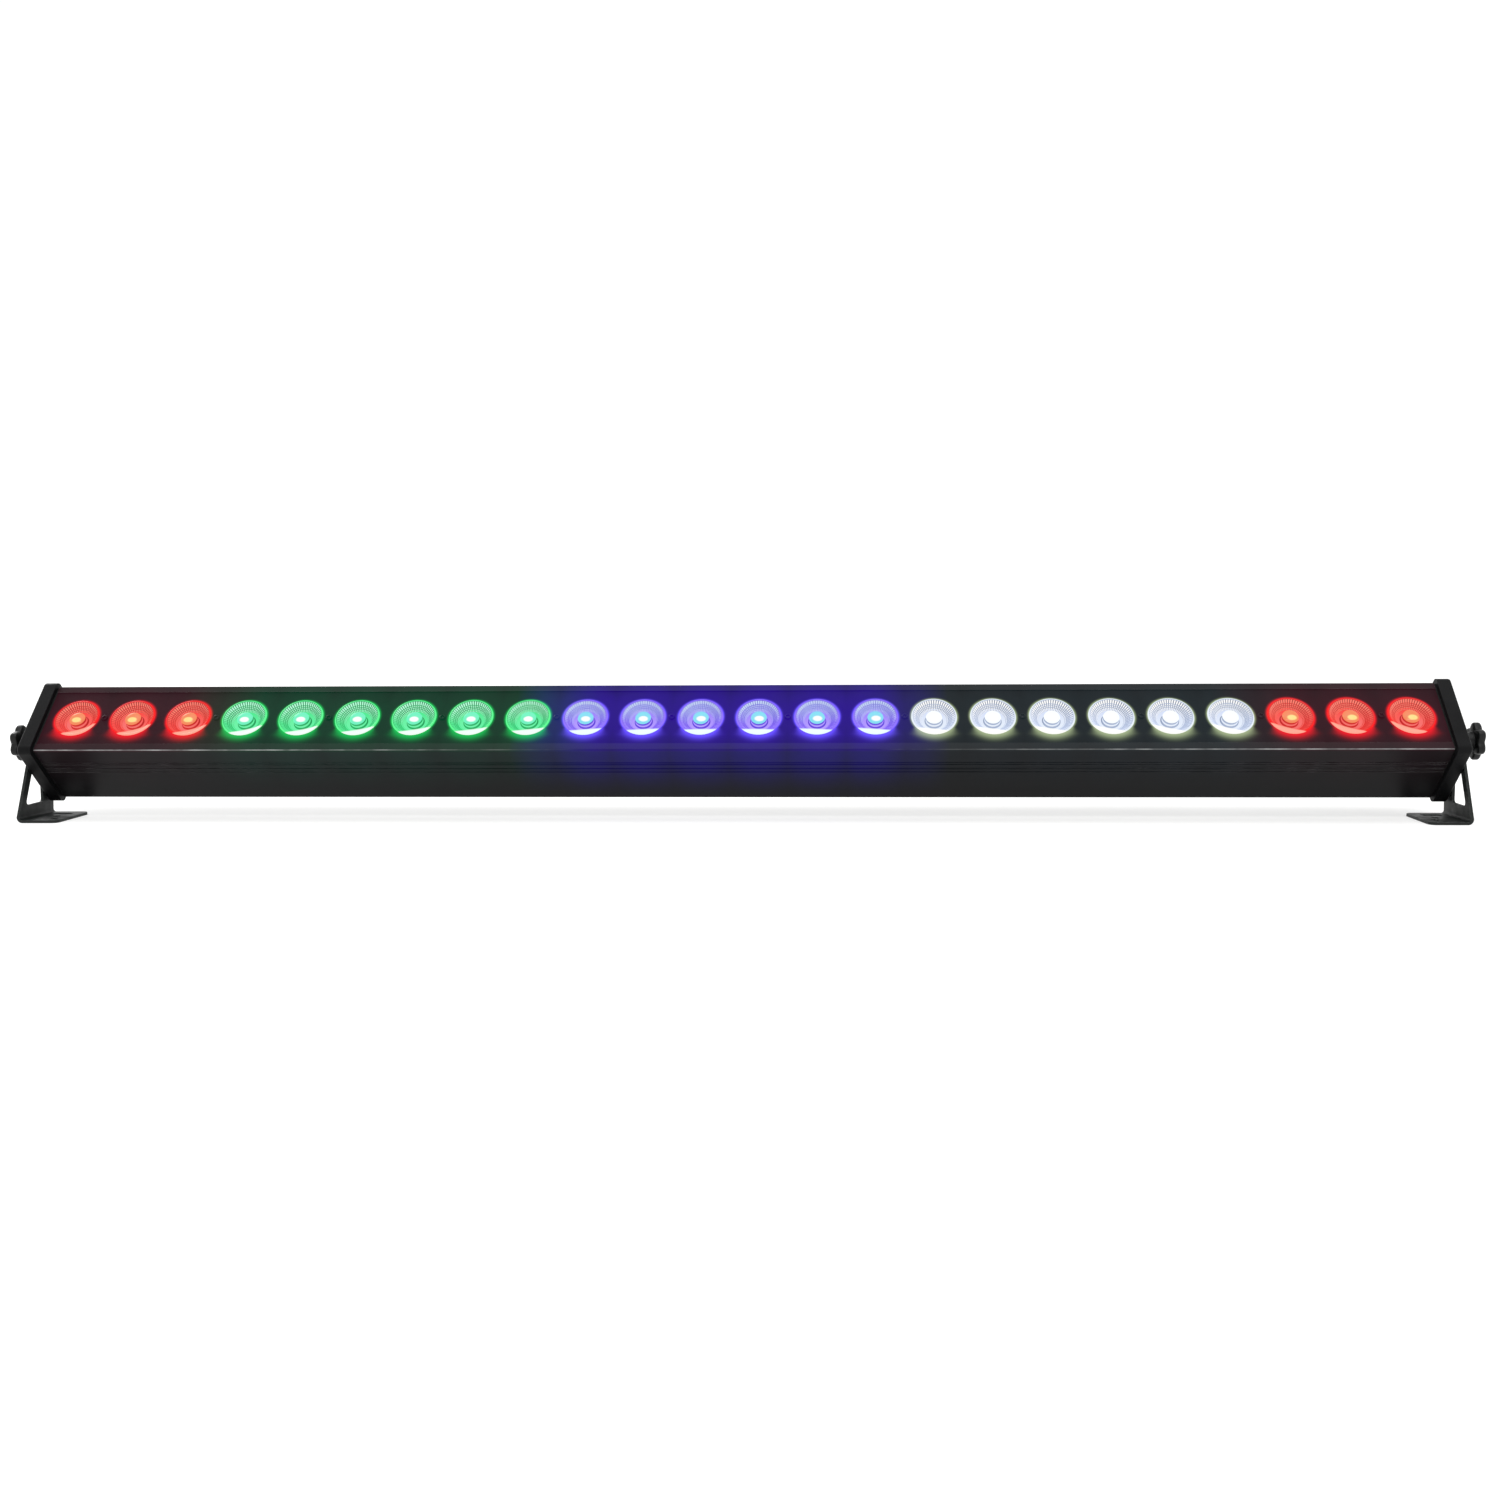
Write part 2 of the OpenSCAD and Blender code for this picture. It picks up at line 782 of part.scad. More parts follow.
module friction_washer() {
    seat_x = cap_outer_x - friction_seat;
    color(rubber) difference() {
        on_pivot(seat_x, plate_in_x - face_gap, friction_r);
        on_pivot(seat_x - cut, plate_in_x, stud_r + slip);
    }
}

// The upright: a round head on the pivot, blended down into the foot's full width
module upright_outline() {
    head = [pivot_y, axis_height];
    front = [-foot_front, bend_r];
    rear = [foot_rear, bend_r];
    difference() {
        union() {
            translate(head) circle(bracket_top_r);
            polygon([
                front,
                touch_point(front, head, bracket_top_r, 1),
                head,
                touch_point(rear, head, bracket_top_r, -1),
                rear
            ]);
        }
        translate(head) circle(stud_r + running);
        hull() {
            translate([window_front[0] + window_r, window_low + window_r]) circle(window_r);
            translate([window_rear - window_r, window_low + window_r]) circle(window_r);
            translate([window_front[1] + window_r, window_high - window_r]) circle(window_r);
            translate([window_rear - window_r, window_high - window_r]) circle(window_r);
        }
    }
}

module foot_outline() {
    flat_end = plate_out_x - bend_r;
    length = foot_front + foot_rear;
    difference() {
        translate([foot_inner_x, -foot_front]) {
            translate([foot_corner_r, 0]) square([flat_end - foot_inner_x - foot_corner_r, length]);
            translate([0, foot_corner_r]) square([foot_corner_r * 2, length - 2 * foot_corner_r]);
            translate([foot_corner_r, foot_corner_r]) circle(foot_corner_r);
            translate([foot_corner_r, length - foot_corner_r]) circle(foot_corner_r);
        }
        translate(slot_at) slot_outline(slot_length, slot_r);
        translate(hole_rear_at) circle(foot_hole_r);
        translate(hole_front_at) circle(foot_hole_r);
    }
}

// A quarter of a ring joins the foot to the upright
module bend() {
    translate([plate_out_x - bend_r, foot_rear, bend_r]) rotate([90, 0, 0])
        linear_extrude(foot_front + foot_rear) intersection() {
            difference() {
                circle(bend_r);
                circle(bend_r - plate);
            }
            translate([0, -bend_r]) square([bend_r, bend_r]);
        }
}

module bracket() {
    color(grey_metal) union() {
        along_x(plate_in_x, plate_out_x) upright_outline();
        bend();
        linear_extrude(plate) foot_outline();
    }
}

module knob() {
    color(black_plastic) difference() {
        union() {
            on_pivot(hub_x, head_x, hub_r);
            on_pivot(hub_x, hub_x + hub_foot_t, hub_foot_r);
            along_x(head_x, knob_end_x) translate([pivot_y, axis_height]) {
                circle(core_r);
                for (i = [0:lobe_count - 1]) {
                    rotate(30 + i * 360 / lobe_count) translate([0, knob_r - lobe_r]) circle(lobe_r);
                }
            }
        }
        on_pivot(hub_x - cut, stud_end_x + face_gap, stud_r + running);
    }
}

module knob_stud() {
    color(bare_metal) on_pivot(stud_start_x, stud_end_x, stud_r);
}

module knob_washer() {
    color(bare_metal) difference() {
        on_pivot(washer_in_x, washer_out_x, washer_r);
        on_pivot(washer_in_x - cut, washer_out_x + cut, stud_r + running);
    }
}

housing();
front_panel();
front_panel_screws();
panel_posts();
for (i = [1:section_count]) lens_section(i);
for (i = [1:board_count]) led_board(i);
lens_holders();
led_emitters();
heat_spreader();
led_wiring();
supply_card();
supply_parts();
control_card();
control_parts();
card_standoffs();
display_module();
display_window();
button_switches();
for (i = [1:button_count]) button(i);
mains_inlet();
fuse_drawer();
fuse();
mains_outlet();
mains_wiring();
signal_inlet();
signal_outlet();
signal_latch();
signal_wiring();
connector_contacts();
connector_screws();
left_hand() end_cap();  // end_cap_left
end_cap();  // end_cap_right
left_hand() end_gasket();  // end_gasket_left
end_gasket();  // end_gasket_right
end_cap_screws();
left_hand() thread_insert();  // thread_insert_left
thread_insert();  // thread_insert_right
left_hand() friction_washer();  // friction_washer_left
friction_washer();  // friction_washer_right
left_hand() bracket();  // bracket_left
bracket();  // bracket_right
left_hand() knob();  // knob_left
knob();  // knob_right
left_hand() knob_stud();  // knob_stud_left
knob_stud();  // knob_stud_right
left_hand() knob_washer();  // knob_washer_left
knob_washer();  // knob_washer_right
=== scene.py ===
import json
import math

import bmesh
import bpy
from mathutils import Matrix, Vector

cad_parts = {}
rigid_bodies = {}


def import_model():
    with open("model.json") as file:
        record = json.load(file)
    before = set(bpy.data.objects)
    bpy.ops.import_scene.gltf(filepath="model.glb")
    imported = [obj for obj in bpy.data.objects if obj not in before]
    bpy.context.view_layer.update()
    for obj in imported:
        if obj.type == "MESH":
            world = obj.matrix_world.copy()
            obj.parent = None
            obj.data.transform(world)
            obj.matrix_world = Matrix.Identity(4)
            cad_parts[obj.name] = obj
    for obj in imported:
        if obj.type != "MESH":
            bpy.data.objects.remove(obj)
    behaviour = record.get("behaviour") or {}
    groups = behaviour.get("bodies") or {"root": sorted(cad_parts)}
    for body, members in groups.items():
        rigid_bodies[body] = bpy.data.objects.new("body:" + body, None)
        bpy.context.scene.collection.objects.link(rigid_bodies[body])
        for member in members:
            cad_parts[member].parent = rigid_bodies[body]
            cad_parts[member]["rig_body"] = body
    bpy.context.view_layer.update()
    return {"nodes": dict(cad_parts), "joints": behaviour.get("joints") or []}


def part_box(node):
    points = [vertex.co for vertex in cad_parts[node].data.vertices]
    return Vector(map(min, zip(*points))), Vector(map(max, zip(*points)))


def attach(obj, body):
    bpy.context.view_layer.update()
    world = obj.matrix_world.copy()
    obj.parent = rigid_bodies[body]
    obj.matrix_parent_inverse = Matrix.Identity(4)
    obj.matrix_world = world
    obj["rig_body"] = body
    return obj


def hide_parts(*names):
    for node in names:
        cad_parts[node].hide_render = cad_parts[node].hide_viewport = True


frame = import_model()

MM = 0.001
nodes = frame["nodes"]
joints = {joint["name"]: joint for joint in frame["joints"]}


# ---------------------------------------------------------------------------
# Places, all read from the frame
# ---------------------------------------------------------------------------

def extent(points):
    """The lowest and highest corners of a box round some points."""
    low = Vector([min(p[i] for p in points) for i in range(3)])
    high = Vector([max(p[i] for p in points) for i in range(3)])
    return low, high


# A button is pressed square to the lit face, so its joint gives the lean of the body.
face_normal = Vector(joints["button_1_press"]["axis"])
tilt = math.atan2(-face_normal.y, face_normal.z)
body_low, body_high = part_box("housing")
body_centre = (body_low + body_high) / 2
# The body's own frame: x along the bar, y across the lit face, z square to it
section = Matrix.Translation(body_centre) @ Matrix.Rotation(tilt, 4, "X")
section_back = section.inverted()


def section_box(node):
    """A node's lowest and highest corners in the body's own frame."""
    return extent([section_back @ vertex.co for vertex in nodes[node].data.vertices])


shell_low, shell_high = section_box("housing")
panel_top = section_box("front_panel")[1].z
pivot_y, pivot_z = joints["right_bracket_tilt"]["pos_m"][1:]

LAMPS_PER_SECTION = 3
SECTIONS = 8
COLOURS = ["red", "green", "green", "blue", "blue", "white", "white", "red"]
first_low, first_high = section_box("lens_section_1")
lens_r = (first_high.y - first_low.y) / 2
lens_top = first_high.z
lens_depth = (lens_top - first_low.z) / MM
pitch = (first_high.x - first_low.x - 2 * lens_r) / (LAMPS_PER_SECTION - 1)
lamp_count = LAMPS_PER_SECTION * SECTIONS


def lamp_x(index):
    """The middle of a lamp along the bar, counted from 0 at the left end."""
    return (index - (lamp_count - 1) / 2) * pitch


# ---------------------------------------------------------------------------
# Materials
# ---------------------------------------------------------------------------

def linear(value):
    """One channel of a screen colour, 0 to 255, as light."""
    value /= 255
    return value / 12.92 if value <= 0.04045 else ((value + 0.055) / 1.055) ** 2.4


def light(colour):
    """A screen colour as the four numbers that a colour socket takes."""
    return (linear(colour[0]), linear(colour[1]), linear(colour[2]), 1.0)


# How much finer the patches of the edge tone (worn chips, and a painted highlight on the body)
# and the smudges of roughness are than a material's blotches
WEAR_AND_SHEEN_FINENESS = 9
SMUDGE_FINENESS = 2.3


class Graph:
    """A material's node tree, with short calls to add nodes and link them."""

    def __init__(self, name):
        self.material = bpy.data.materials.new(name)
        self.material.use_nodes = True
        self.tree = self.material.node_tree
        self.shader = self.tree.nodes["Principled BSDF"]
        coordinates = self.tree.nodes.new("ShaderNodeTexCoord")
        # A place on the object, in metres in the shared frame
        self.place = coordinates.outputs["Object"]

    def link(self, source, target):
        self.tree.links.new(source, target)

    def put(self, value, socket):
        """Feeds a socket from another node, or sets it to a fixed value."""
        if isinstance(value, bpy.types.NodeSocket):
            self.link(value, socket)
        else:
            socket.default_value = value

    def math(self, operation, a, b=0.0):
        node = self.tree.nodes.new("ShaderNodeMath")
        node.operation = operation
        self.put(a, node.inputs[0])
        self.put(b, node.inputs[1])
        return node.outputs[0]

    def stretched(self, stretch):
        node = self.tree.nodes.new("ShaderNodeMapping")
        node.inputs["Scale"].default_value = stretch
        self.link(self.place, node.inputs["Vector"])
        return node.outputs[0]

    def noise(self, scale, detail=3.0, stretch=None):
        node = self.tree.nodes.new("ShaderNodeTexNoise")
        node.inputs["Scale"].default_value = scale
        node.inputs["Detail"].default_value = detail
        self.link(self.stretched(stretch) if stretch else self.place, node.inputs["Vector"])
        return node.outputs["Fac"]

    def spread(self, value, low, high, start=0.3, end=0.7):
        """Maps start..end to low..high. The default start and end are where most of a noise value lies."""
        node = self.tree.nodes.new("ShaderNodeMapRange")
        for name, number in (("From Min", start), ("From Max", end), ("To Min", low), ("To Max", high)):
            node.inputs[name].default_value = number
        self.link(value, node.inputs["Value"])
        return node.outputs[0]

    def mix(self, factor, a, b, blend="MIX"):
        node = self.tree.nodes.new("ShaderNodeMix")
        node.data_type = "RGBA"
        node.blend_type = blend
        self.put(factor, node.inputs[0])
        self.put(a, node.inputs[6])
        self.put(b, node.inputs[7])
        return node.outputs[2]

    def attribute(self, name):
        node = self.tree.nodes.new("ShaderNodeAttribute")
        node.attribute_name = name
        return node.outputs["Fac"]

    def bump(self, height, distance, strength=1.0):
        node = self.tree.nodes.new("ShaderNodeBump")
        node.inputs["Strength"].default_value = strength
        node.inputs["Distance"].default_value = distance
        self.link(height, node.inputs["Height"])
        self.link(node.outputs[0], self.shader.inputs["Normal"])

    def dress(self, low, high, rough, scale, grain, edge_wear_and_sheen=None, wear_and_sheen_shares=(0.0, 0.6), wear_and_sheen_where=1.0, metal=0.0,
              specular=0.5, depth=0.02 * MM, stretch=None):
        """Colour that varies from low to high, roughness that varies between two values, and a fine grain.
        The rounded edges take the lighter edge tone, in patches that show it from the first share to the
        second: wear on most materials, a painted highlight on the body. A further factor scales it from place
        to place."""
        blotch = self.noise(scale, 4.0, stretch)
        colour = self.mix(self.spread(blotch, 0.0, 1.0), light(low), light(high))
        if edge_wear_and_sheen:
            # The edge tone: wear in chips, and on the body's black metal a painted highlight
            wear_and_sheen_mask = self.spread(self.noise(scale * WEAR_AND_SHEEN_FINENESS, 5.0), *wear_and_sheen_shares, 0.42, 0.66)
            wear_and_sheen_mask = self.math("MULTIPLY", wear_and_sheen_mask, wear_and_sheen_where)
            colour = self.mix(self.math("MULTIPLY", self.attribute("edge"), wear_and_sheen_mask), colour, light(edge_wear_and_sheen))
        self.link(colour, self.shader.inputs["Base Color"])
        smudges = self.noise(scale * SMUDGE_FINENESS, 3.0, stretch)
        self.link(self.spread(smudges, *rough), self.shader.inputs["Roughness"])
        self.shader.inputs["Metallic"].default_value = metal
        self.shader.inputs["Specular IOR Level"].default_value = specular
        self.bump(self.noise(grain, 2.0, stretch), depth)


def coated_metal():
    graph = Graph("powder coated steel")
    graph.dress((20, 23, 22), (28, 31, 30), (0.42, 0.58), 60, 2600, edge_wear_and_sheen=(84, 88, 86), depth=0.06 * MM,
                specular=0.2)
    return graph.material


def moulded_black():
    graph = Graph("moulded black plastic")
    graph.dress((9, 9, 10), (15, 15, 16), (0.4, 0.58), 45, 3200, edge_wear_and_sheen=(36, 37, 37), depth=0.03 * MM,
                specular=0.08)
    return graph.material


def knob_plastic():
    graph = Graph("knob plastic")
    graph.dress((10, 11, 11), (17, 18, 18), (0.3, 0.44), 80, 2400, edge_wear_and_sheen=(64, 66, 66),
                specular=0.22)
    return graph.material


def grey_plastic():
    graph = Graph("grey plastic")
    graph.dress((46, 47, 48), (58, 59, 60), (0.4, 0.55), 90, 2600, edge_wear_and_sheen=(110, 112, 112))
    return graph.material


def rubber():
    graph = Graph("gasket rubber")
    graph.dress((8, 8, 8), (14, 14, 14), (0.7, 0.85), 120, 1800, specular=0.2, depth=0.03 * MM)
    return graph.material


def metal(name, low, high, rough, stretch=None):
    """Bare metal with lighter edges."""
    graph = Graph(name)
    graph.dress(low, high, rough, 220, 1500, edge_wear_and_sheen=(225, 226, 228), wear_and_sheen_shares=(0.1, 0.3), metal=1.0,
                stretch=stretch, depth=0.01 * MM)
    return graph.material


def card(name, low, high):
    """The lacquered board that carries electronic parts."""
    graph = Graph(name)
    graph.dress(low, high, (0.35, 0.5), 150, 900, depth=0.01 * MM)
    return graph.material


# The glow that each colour of lamp casts on the black metal: close to a lens, and further out
CLOSE_GLOW = {"red": (238, 8, 22), "green": (5, 182, 74), "blue": (104, 84, 255), "white": (160, 176, 132)}
WIDE_GLOW = {"red": (50, 10, 22), "green": (0, 56, 34), "blue": (36, 0, 138), "white": (24, 34, 38)}
# The weaker glow that reaches the sides of the body
BODY_GLOW = {"red": (22, 4, 10), "green": (0, 38, 30), "blue": (20, 6, 118), "white": (10, 20, 26)}


def zone_ramp(graph, along, table, blend):
    """Colour by place along the bar. At a border between two colours of lamp it blends from one to the
    other, over blend times the step between two lamps."""
    node = graph.tree.nodes.new("ShaderNodeValToRGB")
    soft = blend / 2 / lamp_count
    borders = [i for i in range(1, SECTIONS) if COLOURS[i] != COLOURS[i - 1]]
    stops = [(0.0, COLOURS[0])]
    for border in borders:
        stops.append((border / SECTIONS - soft, COLOURS[border - 1]))
        stops.append((border / SECTIONS + soft, COLOURS[border]))
    elements = node.color_ramp.elements
    elements[0].color = light(table[stops[0][1]])
    elements[1].position = stops[1][0]
    elements[1].color = light(table[stops[1][1]])
    for position, colour in stops[2:]:
        elements.new(position).color = light(table[colour])
    graph.link(along, node.inputs["Fac"])
    return node.outputs["Color"]


def nearest_lens(graph):
    """Millimetres beside and across from the middle of the nearest lens, millimetres above the
    panel, and the place along the row of lamps from 0 to 1."""
    turned = graph.tree.nodes.new("ShaderNodeVectorRotate")
    turned.rotation_type = "X_AXIS"
    turned.inputs["Angle"].default_value = -tilt
    turned.inputs["Center"].default_value = body_centre
    graph.link(graph.place, turned.inputs["Vector"])
    parts = graph.tree.nodes.new("ShaderNodeSeparateXYZ")
    graph.link(turned.outputs[0], parts.inputs[0])
    x = parts.outputs["X"]
    along = graph.math("ADD", graph.math("DIVIDE", x, lamp_count * pitch), 0.5)
    turns = graph.math("ADD", graph.math("DIVIDE", x, pitch), lamp_count / 2)
    beside = graph.math("MULTIPLY", graph.math("SUBTRACT", graph.math("FRACT", turns), 0.5), pitch / MM)
    across = graph.math("DIVIDE", graph.math("SUBTRACT", parts.outputs["Y"], body_centre.y), MM)
    above = graph.math("DIVIDE", graph.math("SUBTRACT", parts.outputs["Z"], body_centre.z + panel_top), MM)
    return beside, across, above, along


def length_of(graph, *parts):
    total = 0.0
    for part in parts:
        total = graph.math("ADD", graph.math("MULTIPLY", part, part), total)
    return graph.math("SQRT", total)


def bell(graph, ratio):
    """1 at 0, falling smoothly to a third at 1 and to nothing beyond 2."""
    return graph.math("POWER", math.e, graph.math("MULTIPLY", graph.math("MULTIPLY", ratio, ratio), -1.0))


# How far the glow reaches, in millimetres: close to a lens, below it, and over the whole face
CLOSE_REACH = 1.1
LOWER_REACH = 4.2
WIDE_REACH = 23.0
# Where the close glow grows from one reach to the other, as shares of the lens's radius across the face
REACH_FROM = -1.0
REACH_TO = -0.6
# Over how much of the step between two lamps their colours blend
CLOSE_BLEND = 0.2
WIDE_BLEND = 1.5
# Millimetres above the panel where the side faces begin to catch the glow and where they catch all of it
SIDE_HEIGHTS = (-3.0, 0.0)
# Millimetres across the face between the front side, which catches the glow, and the rear side
FRONT_TO_REAR = (-5.0, 5.0)
# Millimetres above the panel where the weaker glow of the body gives way to that of the face
FACE_HEIGHTS = (-2.0, -0.4)


def lamp_glow(graph, close_power):
    """The lamps' spill on the metal round them, from the distance to the nearest lens."""
    beside, across, above, along = nearest_lens(graph)
    rim = lens_r / MM
    gap = graph.math("MAXIMUM", graph.math("SUBTRACT", length_of(graph, beside, across, above), rim), 0.0)
    reach = graph.spread(across, LOWER_REACH, CLOSE_REACH, REACH_FROM * rim, REACH_TO * rim)
    close = graph.math("MULTIPLY", bell(graph, graph.math("DIVIDE", gap, reach)), close_power)
    uneven = graph.spread(graph.noise(70, 3.0), 0.93, 1.07)
    wide = graph.math("MULTIPLY", bell(graph, graph.math("DIVIDE", gap, WIDE_REACH)), uneven)
    # The front side catches some of it, the rear side none
    facing = graph.math("MAXIMUM", graph.spread(above, 0.0, 1.0, *SIDE_HEIGHTS),
                        graph.spread(across, 1.0, 0.0, *FRONT_TO_REAR))
    wide = graph.math("MULTIPLY", wide, facing)
    near = graph.mix(1.0, zone_ramp(graph, along, CLOSE_GLOW, CLOSE_BLEND), close, "MULTIPLY")
    on_face = graph.spread(above, 0.0, 1.0, *FACE_HEIGHTS)
    body_spill = zone_ramp(graph, along, BODY_GLOW, WIDE_BLEND)
    face_spill = zone_ramp(graph, along, WIDE_GLOW, WIDE_BLEND)
    far = graph.mix(1.0, graph.mix(on_face, body_spill, face_spill), wide, "MULTIPLY")
    graph.link(graph.mix(1.0, near, far, "ADD"), graph.shader.inputs["Emission Color"])
    graph.shader.inputs["Emission Strength"].default_value = 1.0


def panel_metal():
    graph = Graph("black panel")
    graph.dress((5, 5, 6), (10, 9, 11), (0.42, 0.55), 30, 2800, edge_wear_and_sheen=(46, 46, 48), specular=0.05)
    lamp_glow(graph, 1.0)
    return graph.material


def anodised():
    """The body's black metal, drawn out along the bar. Its rounded corners and rims take a painted highlight
    in the light edge tone, strongest towards the ends and absent near the middle."""
    graph = Graph("black anodised aluminium")
    along = nearest_lens(graph)[3]
    from_middle = graph.math("ABSOLUTE", graph.math("SUBTRACT", along, 0.5))
    # The light edge tone here is a painted highlight on the corners and rims
    graph.dress((11, 11, 12), (17, 17, 18), (0.34, 0.46), 8, 900, edge_wear_and_sheen=(150, 152, 152), specular=0.09,
                stretch=(0.05, 1, 1), depth=0.006 * MM, wear_and_sheen_shares=(0.3, 0.8),
                wear_and_sheen_where=graph.spread(from_middle, 0.0, 1.0, 0.1, 0.36))
    lamp_glow(graph, 0.15)
    return graph.material


def panel_screw_metal():
    graph = Graph("panel screw steel")
    graph.dress((16, 16, 18), (30, 30, 32), (0.26, 0.42), 220, 1500, edge_wear_and_sheen=(120, 121, 123), metal=1.0,
                depth=0.01 * MM)
    lamp_glow(graph, 0.6)
    return graph.material


# Screen colours of a lit lens, zone by zone
LENS_COLOURS = {
    "red": {
        "rim": (248, 30, 28), "body": (249, 74, 66), "floor": (244, 112, 108), "ray": (255, 128, 110),
        "line": (208, 44, 42), "deep": (148, 26, 28), "dome": (244, 138, 92), "hot": (252, 224, 142),
        "glare": (255, 168, 146)},
    "green": {
        "rim": (92, 248, 146), "body": (78, 233, 144), "floor": (108, 242, 168), "ray": (178, 255, 214),
        "line": (44, 172, 100), "deep": (20, 108, 62), "dome": (112, 242, 192), "hot": (255, 255, 255),
        "glare": (240, 255, 246)},
    "blue": {
        "rim": (144, 116, 255), "body": (154, 130, 250), "floor": (180, 156, 252), "ray": (210, 230, 255),
        "line": (104, 74, 224), "deep": (66, 38, 184), "dome": (132, 220, 242), "hot": (250, 255, 255),
        "glare": (236, 254, 255)},
    "white": {
        "rim": (232, 240, 250), "body": (214, 224, 248), "floor": (230, 238, 250), "ray": (255, 255, 255),
        "line": (164, 178, 206), "deep": (92, 108, 134), "dome": (250, 254, 255), "hot": (255, 255, 255),
        "glare": (255, 255, 250)},
}
LENS_ZONES = ["rim", "body", "ray", "line", "deep", "dome"]
# The tone that a zone fades to below the middle of the lens
FADED_ZONES = {"body": "floor", "ray": "body", "deep": "line"}
# Millimetres across the face over which the cells fade
CELL_FADE = (-5.0, 8.0)
# The hot spot on the dome: its middle beside and across from the lens's, and its half sizes, in millimetres
HOT_MIDDLE = (0.4, -1.9)
HOT_SIZE = (3.4, 2.3)
# The soft edge of the hot spot, as shares of its size
HOT_EDGE = (0.8, 1.12)
# The bright lower part of the bowl: how much it leans to the middle of the bar, how much height moves it, and
# the distances in millimetres where it begins and where it is full
GLARE_LEAN = 0.88
GLARE_RISE = 0.83
GLARE_EDGE = (10.6, 11.8)
DOME_ROUGHNESS = 0.08
BOWL_ROUGHNESS = 0.2
ROUGHNESS_SPAN = 0.12


def lens_material(colour, zone):
    """A zone of a lit lens. The lower side of the bowl, which throws the light forward, is brightest."""
    graph = Graph(f"{colour} lens {zone}")
    rough = DOME_ROUGHNESS if zone == "dome" else BOWL_ROUGHNESS
    graph.dress((4, 4, 4), (9, 9, 9), (rough, rough + ROUGHNESS_SPAN), 300, 4000, depth=0.004 * MM,
                specular=0.15)
    beside, across, above, along = nearest_lens(graph)
    tones = LENS_COLOURS[colour]
    lit = light(tones[zone])
    if zone in FADED_ZONES:
        lit = graph.mix(graph.spread(across, 1.0, 0.0, *CELL_FADE), lit, light(tones[FADED_ZONES[zone]]))
    if zone == "dome":
        aside = graph.math("DIVIDE", graph.math("SUBTRACT", beside, HOT_MIDDLE[0]), HOT_SIZE[0])
        down = graph.math("DIVIDE", graph.math("SUBTRACT", across, HOT_MIDDLE[1]), HOT_SIZE[1])
        hot = graph.spread(length_of(graph, aside, down), 1.0, 0.0, *HOT_EDGE)
        lit = graph.mix(hot, lit, light(tones["hot"]))
    lean = graph.math("MULTIPLY", graph.math("SUBTRACT", 0.5, along), GLARE_LEAN)
    sideways = graph.math("MULTIPLY", beside, lean)
    upwards = graph.math("ADD", across, graph.math("MULTIPLY", above, GLARE_RISE))
    glare = graph.spread(graph.math("SUBTRACT", sideways, upwards), 0.0, 1.0, *GLARE_EDGE)
    lit = graph.mix(glare, lit, light(tones["glare"]))
    graph.link(lit, graph.shader.inputs["Emission Color"])
    graph.shader.inputs["Emission Strength"].default_value = 1.0
    return graph.material


coat = coated_metal()
black = moulded_black()
knob_black = knob_plastic()
grey = grey_plastic()
gasket = rubber()
panel_black = panel_metal()
body_black = anodised()
screw_black = metal("blackened screw steel", (40, 40, 42), (62, 62, 64), (0.26, 0.42))
steel = metal("bright steel", (150, 151, 154), (182, 183, 186), (0.22, 0.38))
bare = metal("bare aluminium", (170, 171, 174), (196, 197, 200), (0.3, 0.45), stretch=(0.1, 1, 1))
brass = metal("turned brass", (190, 150, 84), (214, 174, 104), (0.22, 0.36))
board_green = card("green card", (18, 74, 40), (26, 92, 52))
board_white = card("white lamp board", (214, 214, 208), (232, 232, 228))
lens_materials = {colour: [lens_material(colour, zone) for zone in LENS_ZONES] for colour in LENS_COLOURS}
panel_screw = panel_screw_metal()


# ---------------------------------------------------------------------------
# Mesh helpers
# ---------------------------------------------------------------------------

# Corners of a CAD mesh nearer than this are one corner
SAME_POINT = 0.004 * MM


def add_piece(name, shape, materials, body, replaced, angle=50):
    """Turns a bmesh into a piece that rides on a body and stands in for the replaced nodes. Its surface is
    smooth except at edges sharper than the angle, in degrees."""
    bmesh.ops.recalc_face_normals(shape, faces=shape.faces)
    mesh = bpy.data.meshes.new(name)
    shape.to_mesh(mesh)
    shape.free()
    for stale in ("custom_normal", "sharp_face"):
        if stale in mesh.attributes:
            mesh.attributes.remove(mesh.attributes[stale])
    for polygon in mesh.polygons:
        polygon.use_smooth = True
    mesh.set_sharp_from_angle(angle=math.radians(angle))
    for material in materials:
        mesh.materials.append(material)
    piece = bpy.data.objects.new(name, mesh)
    bpy.context.scene.collection.objects.link(piece)
    evener = piece.modifiers.new("even shading", "WEIGHTED_NORMAL")
    evener.keep_sharp = True
    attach(piece, body)
    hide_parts(*replaced)


def mark_edges(shape, faces):
    """Marks faces as rounded edges, which take the edge tone: wear on most pieces, a painted highlight on the
    body.
    """
    layer = shape.loops.layers.float.get("edge")
    for face in faces:
        for loop in face.loops:
            loop[layer] = 1.0


def round_edges(shape, width, steps=2, wanted=None, angle=35):
    """Rounds edges sharper than the angle, or only those of them that are wanted, and marks the new faces for
    the edge tone: wear on most pieces, a painted highlight on the body."""
    limit = math.radians(angle)
    edges = [edge for edge in shape.edges if len(edge.link_faces) == 2 and edge.calc_face_angle(0) > limit]
    if wanted:
        edges = [edge for edge in edges if wanted(edge)]
    made = bmesh.ops.bevel(shape, geom=edges, offset=width, offset_type="OFFSET", segments=steps, profile=0.5,
                           affect="EDGES", clamp_overlap=True, miter_outer="ARC")
    mark_edges(shape, made["faces"])


